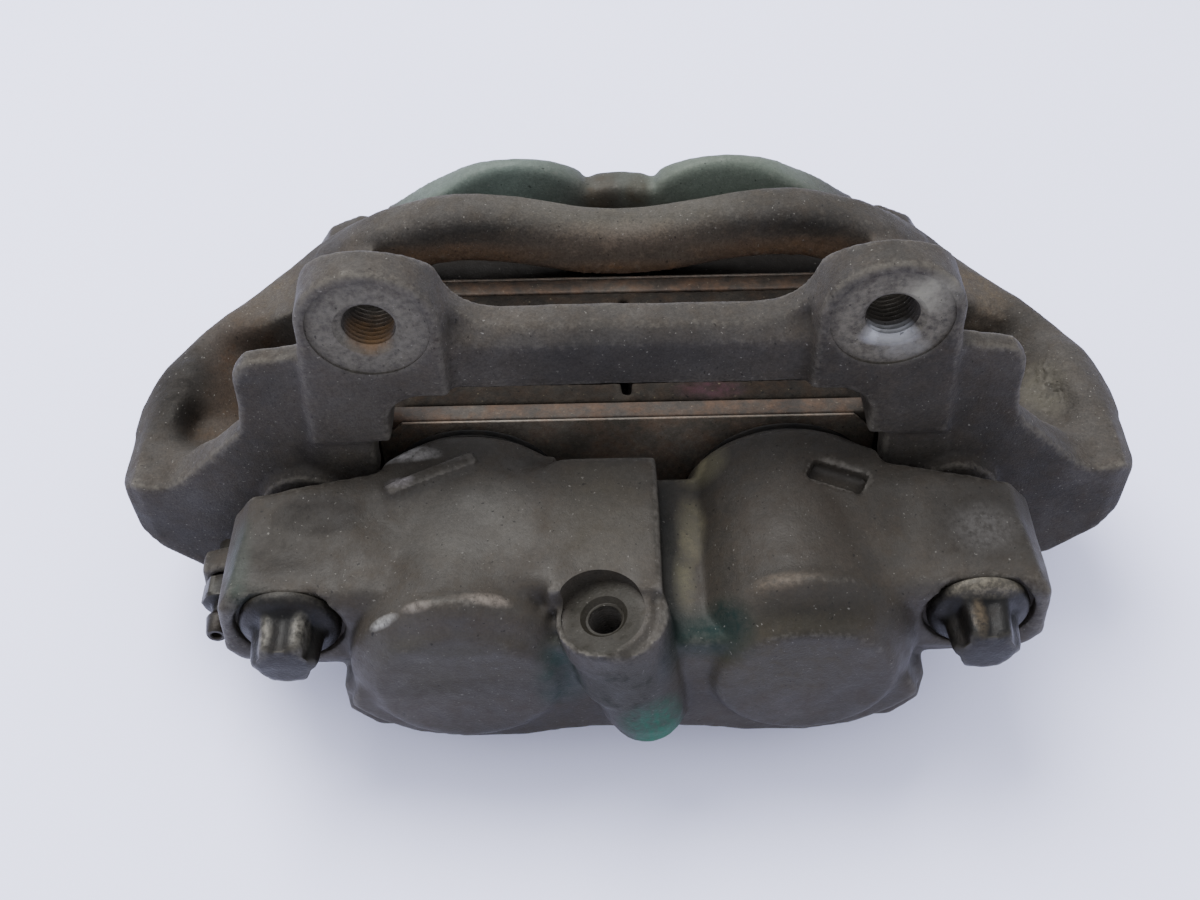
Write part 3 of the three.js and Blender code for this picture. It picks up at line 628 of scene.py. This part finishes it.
housingLook = {
    "depth": 0.195, "broadScale": 22, "dark": (84, 79, 72), "light": (112, 106, 98), "warm": (104, 90, 73),
    "warmShare": 0.4, "blotches": 0.11, "grainDepth": 0.13, "grimeAndShade": 0.65, "grimeAndShadeColour": (50, 46, 42),
    "wearStart": 0.24, "wear": 0.5, "wearColour": (176, 170, 160), "specks": 0.5,
    "speckColour": (214, 210, 200),
    "pits": 0.6, "rough": 0.55, "metallic": 0.15, "specular": 0.14, "grainBump": 0.35,
    "stainsAndPaintedLight": [
        # painted shadow: a dark brown unbroken sheet on the housing under the tie bar
        stainOrPaintedLight((0, 42, -59), (92, 13, 11), (52, 42, 32), 1.0, broken=0.0, edge=0.15),
        stainOrPaintedLight((-3, -109, -70), (16, 12, 22), (52, 55, 38), 0.95, broken=0.4),
        stainOrPaintedLight((-19, -99, -74), (10, 9, 18), (40, 92, 82), 0.85, broken=0.6),
        stainOrPaintedLight((20, -98, -62), (15, 8, 9), (14, 66, 62), 1.0, broken=0.4),
        stainOrPaintedLight((8.5, -72, -58), (6, 44, 14), (44, 52, 50), 0.75, broken=0.3),
        stainOrPaintedLight((9, -98, -62), (7, 15, 12), (20, 50, 48), 0.9, broken=0.4),
        stainOrPaintedLight((-43, -102, -77), (32, 5, 6), (60, 54, 48), 0.6, broken=0.7),
        stainOrPaintedLight((-52, -100, -62), (24, 8, 7), (124, 124, 119), 0.6),
        stainOrPaintedLight((-83, -65, -49), (13, 8, 5), (58, 52, 47), 0.9, broken=0.3, edge=0.3),
        stainOrPaintedLight((-103, -77, -52), (5, 15, 10), (96, 112, 102), 0.8, broken=0.4),
        stainOrPaintedLight((-99, -86, -60), (9, 6, 9), (58, 86, 80), 0.6),
        stainOrPaintedLight((-44, 62, -38), (42, 20, 30), (178, 200, 186), 0.95, broken=0.3, texture="broad"),
        stainOrPaintedLight((34, 62, -38), (42, 20, 30), (172, 190, 172), 0.95, broken=0.3, texture="broad"),
        stainOrPaintedLight((-30, 80, -75), (52, 16, 42), (92, 104, 98), 0.7, broken=0.9, texture="broad"),
        stainOrPaintedLight((44, 80, -84), (44, 16, 36), (112, 94, 74), 0.6, broken=0.9),
        stainOrPaintedLight((-7, 57, -41), (7, 9, 10), (106, 94, 76), 0.85),
        stainOrPaintedLight((6, 57, -40), (5, 9, 9), (104, 90, 70), 0.85),
        stainOrPaintedLight((-8, -98, -53), (13, 13, 4), (62, 58, 46), 0.95, broken=0.2, edge=0.2),
        stainOrPaintedLight((-45, -101, -70), (32, 7, 18), (92, 86, 66), 0.7, broken=0.3, texture="broad"),
        stainOrPaintedLight((92, -72, -50), (20, 18, 6), (64, 59, 53), 0.9, broken=0.3),
        stainOrPaintedLight((-92, -74, -50), (16, 14, 6), (82, 77, 70), 0.9, broken=0.3),
        stainOrPaintedLight((-45, -69, -47.5), (22, 20, 7), (158, 154, 146), 0.75, broken=0.3, texture="broad"),
        stainOrPaintedLight((32, -101, -68), (36, 7, 20), (104, 97, 70), 0.6, broken=0.4),
        stainOrPaintedLight((-8, -68, -48), (17, 30, 4), (104, 98, 86), 0.7, broken=0.3),
        stainOrPaintedLight((45, -70, -48), (26, 30, 14), (88, 80, 72), 0.7, broken=0.4),
        stainOrPaintedLight((45, -97, -54), (24, 7, 6), (66, 61, 46), 0.8, broken=0.3),
    ],
    "patches": [
        stainOrPaintedLight((5, -108, -88), (11, 9, 15), (16, 134, 102), 1.0, broken=0.75, texture="fine", depth=0.2),
        stainOrPaintedLight((7, -106, -97), (9, 9, 9), (8, 150, 112), 1.0, broken=0.5, texture="fine", depth=0.24),
        stainOrPaintedLight((-63, -45.5, -48.5), (13, 3.4, 4), (255, 250, 246), 1.0, broken=0.9, texture="fine"),
        # painted shadow: the darker core of the shade under the tie bar
        stainOrPaintedLight((0, 44, -64), (100, 10, 27), (40, 32, 24), 1.0, broken=0.1, edge=0.3),
        stainOrPaintedLight((20, -95, -60), (15, 9, 10), (16, 60, 56), 0.9, broken=0.5),
        stainOrPaintedLight((-52, -48.5, -45.4), (10, 2.6, 2.4), (160, 154, 148), 0.6, broken=0.8, texture="fine"),
        stainOrPaintedLight((-62, -56.5, -46.4), (5, 3.4, 3), (232, 224, 226), 0.9, broken=0.6, texture="fine"),
        stainOrPaintedLight((-37, -94, -48.6), (13, 2.2, 3), (196, 182, 168), 0.85, broken=1.0, texture="fine"),
        stainOrPaintedLight((-52, -95, -50), (8, 1.8, 3), (206, 194, 182), 0.9, broken=1.0, texture="fine"),
        stainOrPaintedLight((-65, -95.5, -55), (9, 1.5, 4.5), (240, 238, 232), 1.0, broken=1.0, texture="fine"),
        stainOrPaintedLight((20, -44, -57), (10, 7, 9), (190, 182, 148), 1.0, broken=0.5),
        stainOrPaintedLight((16, -62, -58), (5, 15, 10), (186, 178, 146), 1.0, broken=0.6),
        stainOrPaintedLight((13.5, -80, -58), (4, 13, 9), (160, 154, 126), 0.9, broken=0.6),
        stainOrPaintedLight((92, -73, -50.5), (11, 10, 4), (140, 136, 132), 0.7, broken=0.85, texture="fine"),
        # painted highlight: a lit streak along the right drum's crest
        stainOrPaintedLight((34, -90, -48.3), (17, 3, 4), (150, 134, 116), 0.7, broken=0.7, texture="fine"),
    ],
}


def portAxis():
    lean = math.radians(housingShape["portLean"])
    return Vector((-math.sin(lean), 0, math.cos(lean)))


def housingCuts():
    # the hose port with its thread and chamfer, the piston bores, and the seats for boots and bolts
    s = housingShape
    port = at(*s["portAt"])
    tools = [
        lambda: plug(s["portSeatRadius"], 0, 20, port, portAxis()),
        lambda: linked("chamfer", meshFrom("chamfer", *turnedRings(
            [(0, -1.4), (4.9, -1.4), (6.4, 0.3), (0, 0.3)], 72, port, portAxis()))),
        lambda: threadTool(s["threadMinor"], s["threadMajor"], 1.0, -17, 2, port, portAxis(), 60),
    ]
    for side in (-1, 1):
        tools.append(lambda x=side * boreX: plug(s["boreRadius"], -88, -30, at(x, 0, boreZ), steps=128))
        tools.append(lambda x=side * pinX: plug(s["bootSeatRadius"], -57, -45, at(x, 0, pinZ)))
        tools.append(lambda x=side * pinX: plug(s["boltSeatRadius"], -95, -86.5, at(x, 0, pinZ)))
    return tools


def makeHousing():
    port = at(*housingShape["portAt"])
    housingShape["fills"] = [
        lambda: plug(6.5, -19, -0.4, port, portAxis()),
        lambda: plug(12.4, -9, 0.9, port, portAxis()),
        lambda: boxBetween(at(-22.4, -91.9, -58), at(6.9, -84, -48.1)),
        lambda: plug(3.0, 0, 11.5, at(-65, -48.2, -50.8), (16, 7, 3.4), 32),
    ]
    housingShape["cuts"] = housingCuts()
    piece = roughCopy("housing", "housing_casting", housingShape)
    finish = agedFinish("weathered cast aluminium", housingLook)
    return dress(piece, finish, "cast_aluminium", "housing", "housing")


makeHousing()


boltShape = {
    "steps": 144, "lobeDepth": 0.1, "lobedRings": (3, 8),
    "rings": [(0, -101.5), (5.8, -101.5), (6.9, -101.3), (7.6, -100.6), (8.0, -99.4), (8.3, -96.4),
              (8.5, -94.0), (8.7, -92.2), (9.3, -91.2), (10.6, -90.6), (12.2, -90.0), (13.0, -89.2),
              (13.4, -88.2), (13.4, -87.2), (12.9, -86.85), (4.7, -86.85), (4.7, -38.4), (4.3, -38.0),
              (0, -38.0)],
}

boltLook = {
    "depth": 0.055, "broadScale": 70, "dark": (60, 57, 53), "light": (84, 80, 74), "warm": (92, 72, 52),
    "warmShare": 0.5, "blotches": 0.22, "grainDepth": 0.16, "grimeAndShade": 0.8, "grimeAndShadeColour": (22, 20, 18),
    "wearStart": 0.34, "wear": 0.55, "wearColour": (190, 182, 164), "specks": 0.4,
    "speckColour": (200, 196, 186),
    "pits": 0.6, "rough": 0.45, "metallic": 0.3, "specular": 0.2, "grainBump": 0.35,
}


def makeGuideBolt(name, x, extraPatches):
    first, last = boltShape["lobedRings"]

    def lobe(ring, angle):
        if first <= ring <= last:
            return 1.0 + boltShape["lobeDepth"] * math.cos(6 * angle)
        return 1.0

    points, faces = turnedRings(boltShape["rings"], boltShape["steps"], at(x, 0, pinZ), (0, 1, 0), lobe)
    piece = linked(name + "_turned", meshFrom(name + "_turned", points, faces))
    markCurve(piece.data, 6)
    finishShading(piece, 50)
    look = dict(boltLook, patches=extraPatches)
    return dress(piece, agedFinish("dull bolt steel " + name, look), "bolt_steel", "housing", name)


makeGuideBolt("guide_bolt_left", -pinX, [
    # painted highlights: bright streaks on two flutes of the head
    stainOrPaintedLight((-95, -96, -60), (3, 7, 5), (235, 228, 210), 0.9, broken=0.8, texture="fine", depth=0.11),
    stainOrPaintedLight((-86, -95, -60), (3, 8, 5), (235, 228, 210), 0.9, broken=0.8, texture="fine", depth=0.11),
])
makeGuideBolt("guide_bolt_right", pinX, [
    stainOrPaintedLight((90.5, -88.6, -54), (14, 3.4, 5.5), (222, 210, 184), 1.0,
          broken=0.6, texture="fine", depth=0.11),
    # painted highlight: a bright streak on a flute of the head
    stainOrPaintedLight((88, -95, -59), (2.5, 7, 4), (210, 186, 150), 0.8, broken=0.8, texture="fine", depth=0.11),
])

bleederShape = {
    "x": -115, "z": -83, "steps": 72, "hexRings": (12, 13),
    "rings": [(0, -68), (1.4, -68), (1.4, -79.6), (1.7, -80.0), (2.5, -80.0), (2.9, -79.4), (3.6, -74.8),
              (3.4, -74.2), (2.6, -73.0), (2.6, -70.8), (3.2, -70.2), (5.3, -69.6), (6.25, -68.8),
              (6.25, -63.4), (5.3, -62.8), (3.9, -62.4), (3.9, -49.2), (0, -49.2)],
}

bleederLook = dict(boltLook, dark=(84, 80, 72), light=(108, 106, 94), warm=(124, 88, 62),
                   warmShare=0.7, depth=0.048,
                   stainsAndPaintedLight=[stainOrPaintedLight((-115, -78, -83), (6, 7, 6), (110, 74, 52), 0.9),
                           stainOrPaintedLight((-115, -66, -83), (8, 5, 8), (82, 90, 78), 0.7)])


def makeBleeder():
    s = bleederShape

    def hexagon(ring, angle):
        if s["hexRings"][0] <= ring <= s["hexRings"][1]:
            turn = (angle + math.pi / 6) % (math.pi / 3) - math.pi / 6
            flat = math.cos(math.pi / 6) / math.cos(math.pi / 6 - abs(turn))
            return min(flat, 0.975)
        return 1.0

    points, faces = turnedRings(s["rings"], s["steps"], at(s["x"], 0, s["z"]), (0, 1, 0), hexagon)
    piece = linked("bleeder_turned", meshFrom("bleeder_turned", points, faces))
    markCurve(piece.data, 5)
    finishShading(piece, 28)
    finish = agedFinish("rusty bleeder steel", bleederLook)
    return dress(piece, finish, "bolt_steel", "bleeder", "bleeder_screw")


makeBleeder()

rubberLook = {
    "depth": 0.3, "broadScale": 60, "dark": (40, 39, 37), "light": (56, 54, 51), "warm": (84, 74, 62),
    "warmShare": 0.5, "blotches": 0.15, "grainDepth": 0.1, "grimeAndShade": 0.6, "grimeAndShadeColour": (22, 21, 20),
    "wearStart": 0.2, "wear": 0.3, "wearColour": (110, 104, 94), "specks": 0.3,
    "speckColour": (160, 152, 140),
    "pits": 0.2, "rough": 0.62, "metallic": 0.0, "specular": 0.25, "grainBump": 0.25,
}

pinBootShape = {"low": -54.1, "high": -49.3, "inner": 5.8, "middle": 9.7, "wave": 0.9, "folds": 2}
pistonBootShape = {"low": -42.7, "lipEnd": -38.6, "high": -32.8, "inner": 22.3, "lip": 26.1, "middle": 25.0,
                   "wave": 0.85, "folds": 2.5}
rubber = agedFinish("dusty soft rubber", rubberLook)


def bellows(name, profile, x, z):
    points, faces = turnedRings(profile, 96, at(x, 0, z), (0, 1, 0), closed=True)
    piece = linked(name + "_moulded", meshFrom(name + "_moulded", points, faces))
    finishShading(piece, 50)
    piece.data.materials.append(rubber)
    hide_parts(name)
    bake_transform(piece)
    return piece


def pinBootProfile():
    b = pinBootShape
    profile = [(b["inner"], b["low"]), (b["middle"] - 0.4, b["low"])]
    rows = 24
    for i in range(rows + 1):
        share = i / rows
        radius = b["middle"] - b["wave"] * math.cos(2 * math.pi * b["folds"] * share)
        profile.append((radius, b["low"] + 0.15 + (b["high"] - b["low"] - 0.3) * share))
    profile.append((b["middle"] - 0.4, b["high"]))
    profile.append((b["inner"], b["high"]))
    return profile


def pistonBootProfile():
    b = pistonBootShape
    profile = [(b["inner"], b["low"]), (b["lip"] - 0.4, b["low"]), (b["lip"], b["low"] + 0.4),
               (b["lip"], b["lipEnd"] - 0.4), (b["lip"] - 0.4, b["lipEnd"])]
    rows = 30
    for i in range(rows + 1):
        share = i / rows
        radius = b["middle"] - b["wave"] * math.cos(2 * math.pi * b["folds"] * share)
        profile.append((radius, b["lipEnd"] + 0.2 + (b["high"] - b["lipEnd"] - 0.5) * share))
    profile.append((b["middle"] + b["wave"] - 0.6, b["high"]))
    profile.append((b["inner"], b["high"]))
    return profile


for side, word in ((-1, "left"), (1, "right")):
    bellows("guide_pin_boot_" + word, pinBootProfile(), side * pinX, pinZ)
    bellows("piston_boot_" + word, pistonBootProfile(), side * boreX, boreZ)
    seal = bevelCopy("piston_seal_" + word, "piston_seal_moulded_" + word, 0.25)
    dress(seal, rubber, "soft_rubber", "housing", "piston_seal_" + word)
print("bolts, bleeder and rubber done")

liningShape = {
    "skin": 0.8, "softening": [(3, 1.0)], "unevenness": [(9, 0.12, 31), (2.0, 0.16, 32)],
}

liningLook = {
    "depth": 0.15, "broadScale": 45, "dark": (62, 56, 50), "light": (88, 81, 72), "warm": (104, 82, 64),
    "warmShare": 0.5, "blotches": 0.25, "grainDepth": 0.3, "grimeAndShade": 0.8, "grimeAndShadeColour": (28, 25, 22),
    "wearStart": 0.2, "wear": 0.3, "wearColour": (120, 110, 96), "specks": 0.9,
    "speckColour": (170, 158, 130),
    "pits": 0.9, "rough": 0.85, "metallic": 0.0, "specular": 0.1, "grainBump": 0.8, "fineScale": 420,
    "patches": [stainOrPaintedLight((24, -19, -52.5), (12, 4.5, 3), (128, 84, 98), 0.8, broken=0.7, texture="fine")],
}

plateLook = {
    "depth": 0.85, "broadScale": 40, "dark": (48, 42, 37), "light": (66, 61, 55), "warm": (92, 66, 46),
    "warmShare": 0.5, "blotches": 0.2, "grainDepth": 0.18, "grimeAndShade": 0.7, "grimeAndShadeColour": (24, 22, 20),
    "wearStart": 0.1, "wear": 0.5, "wearColour": (140, 130, 114), "specks": 0.3,
    "speckColour": (170, 160, 140),
    "pits": 0.5, "rough": 0.6, "metallic": 0.3, "specular": 0.2, "grainBump": 0.4,
}

springLook = dict(plateLook, dark=(60, 56, 50), light=(84, 79, 72), metallic=0.4, rough=0.5, warmShare=0.35,
                  depth=1.6)
groundLook = dict(plateLook, dark=(128, 125, 120), light=(170, 167, 160), warm=(140, 120, 96), metallic=0.85,
                  rough=0.28, grainBump=0.1, warmShare=0.25, blotches=0.08, depth=0.5)
plateSteel = agedFinish("rusted pad steel", plateLook)
springSteel = agedFinish("thin spring steel", springLook)
groundSteel = agedFinish("ground and plated steel", groundLook)
frictionMix = agedFinish("baked friction mix", liningLook)

for word, body in (("inner", "inner_pad"), ("outer", "outer_pad")):
    lining = roughCopy("pad_lining_" + word, "pad_lining_moulded_" + word, liningShape)
    dress(lining, frictionMix, "friction_mix", body, "pad_lining_" + word)
    plate = bevelCopy("pad_plate_" + word, "pad_plate_pressed_" + word, 0.6, 3)
    dress(plate, plateSteel, "pressed_steel", body, "pad_plate_" + word)
    shim = bevelCopy("pad_shim_" + word, "pad_shim_pressed_" + word, 0.2)
    dress(shim, springSteel, "spring_steel", body, "pad_shim_" + word)

for word in ("left", "right"):
    for row in ("inner", "outer"):
        clip = bevelCopy("clip_%s_%s" % (row, word), "clip_folded_%s_%s" % (row, word), 0.15)
        dress(clip, springSteel, "spring_steel", "bracket", "clip_%s_%s" % (row, word))
    pin = bevelCopy("guide_pin_" + word, "guide_pin_ground_" + word, 0.3)
    dress(pin, groundSteel, "plated_steel", "housing", "guide_pin_" + word)
    piston = bevelCopy("piston_" + word, "piston_ground_" + word, 0.4)
    dress(piston, groundSteel, "plated_steel", "piston_" + word, "piston_" + word)
print("pads, clips, pins and pistons done")

studio = {
    "cameraAt": (-8.06, -296.38, 240.81), "lookDown": 49.0, "roll": 1.2, "lens": 42.0,
    "skyColour": (0.90, 0.92, 1.0), "skyStrength": 1.95,
    "keyAt": (-500, 500, 1500), "keySize": 1.2, "keyPower": 60.0,
}


def makeCamera():
    down, roll = math.radians(studio["lookDown"]), math.radians(studio["roll"])
    forward = Vector((0, math.cos(down), -math.sin(down)))
    up = Vector((0, math.sin(down), math.cos(down)))
    right = Vector((1, 0, 0))
    tiltedRight = right * math.cos(roll) - up * math.sin(roll)
    tiltedUp = right * math.sin(roll) + up * math.cos(roll)
    data = bpy.data.cameras.new("camera")
    data.lens = studio["lens"]
    data.sensor_width = 36.0
    data.clip_start = 0.01
    camera = bpy.data.objects.new("camera", data)
    bpy.context.scene.collection.objects.link(camera)
    turn = Matrix((tiltedRight, tiltedUp, -forward)).transposed().to_4x4()
    camera.matrix_world = Matrix.Translation(at(*studio["cameraAt"])) @ turn
    bpy.context.scene.camera = camera


def makeStudio():
    half = 3.0
    corners = [(-half, -half, 0), (half, -half, 0), (half, half, 0), (-half, half, 0)]
    floor = linked("floor", meshFrom("floor", corners, [(0, 1, 2, 3)]))
    floor.location.z = cadBox[0][2] - 0.0002
    w = Wiring("pale table")
    shade = w.fit(w.grain(3.0, 2.0), 0.3, 0.7)
    w.join(w.blend(shade, (0.72, 0.735, 0.97, 1), (0.76, 0.775, 1.0, 1)), w.shader.inputs["Base Color"])
    w.shader.inputs["Roughness"].default_value = 0.7
    w.shader.inputs["Specular IOR Level"].default_value = 0.2
    floor.data.materials.append(w.material)
    world = bpy.data.worlds.new("soft room")
    world.use_nodes = True
    sky = world.node_tree.nodes["Background"]
    sky.inputs["Color"].default_value = (*studio["skyColour"], 1)
    sky.inputs["Strength"].default_value = studio["skyStrength"]
    bpy.context.scene.world = world
    key = bpy.data.lights.new("key", "AREA")
    key.shape = "DISK"
    key.size = studio["keySize"]
    key.energy = studio["keyPower"]
    lamp = bpy.data.objects.new("key", key)
    bpy.context.scene.collection.objects.link(lamp)
    lamp.location = at(*studio["keyAt"])
    lamp.rotation_euler = (at(0, 0, -60) - lamp.location).to_track_quat("-Z", "Y").to_euler()


makeCamera()
makeStudio()
print("studio ready")
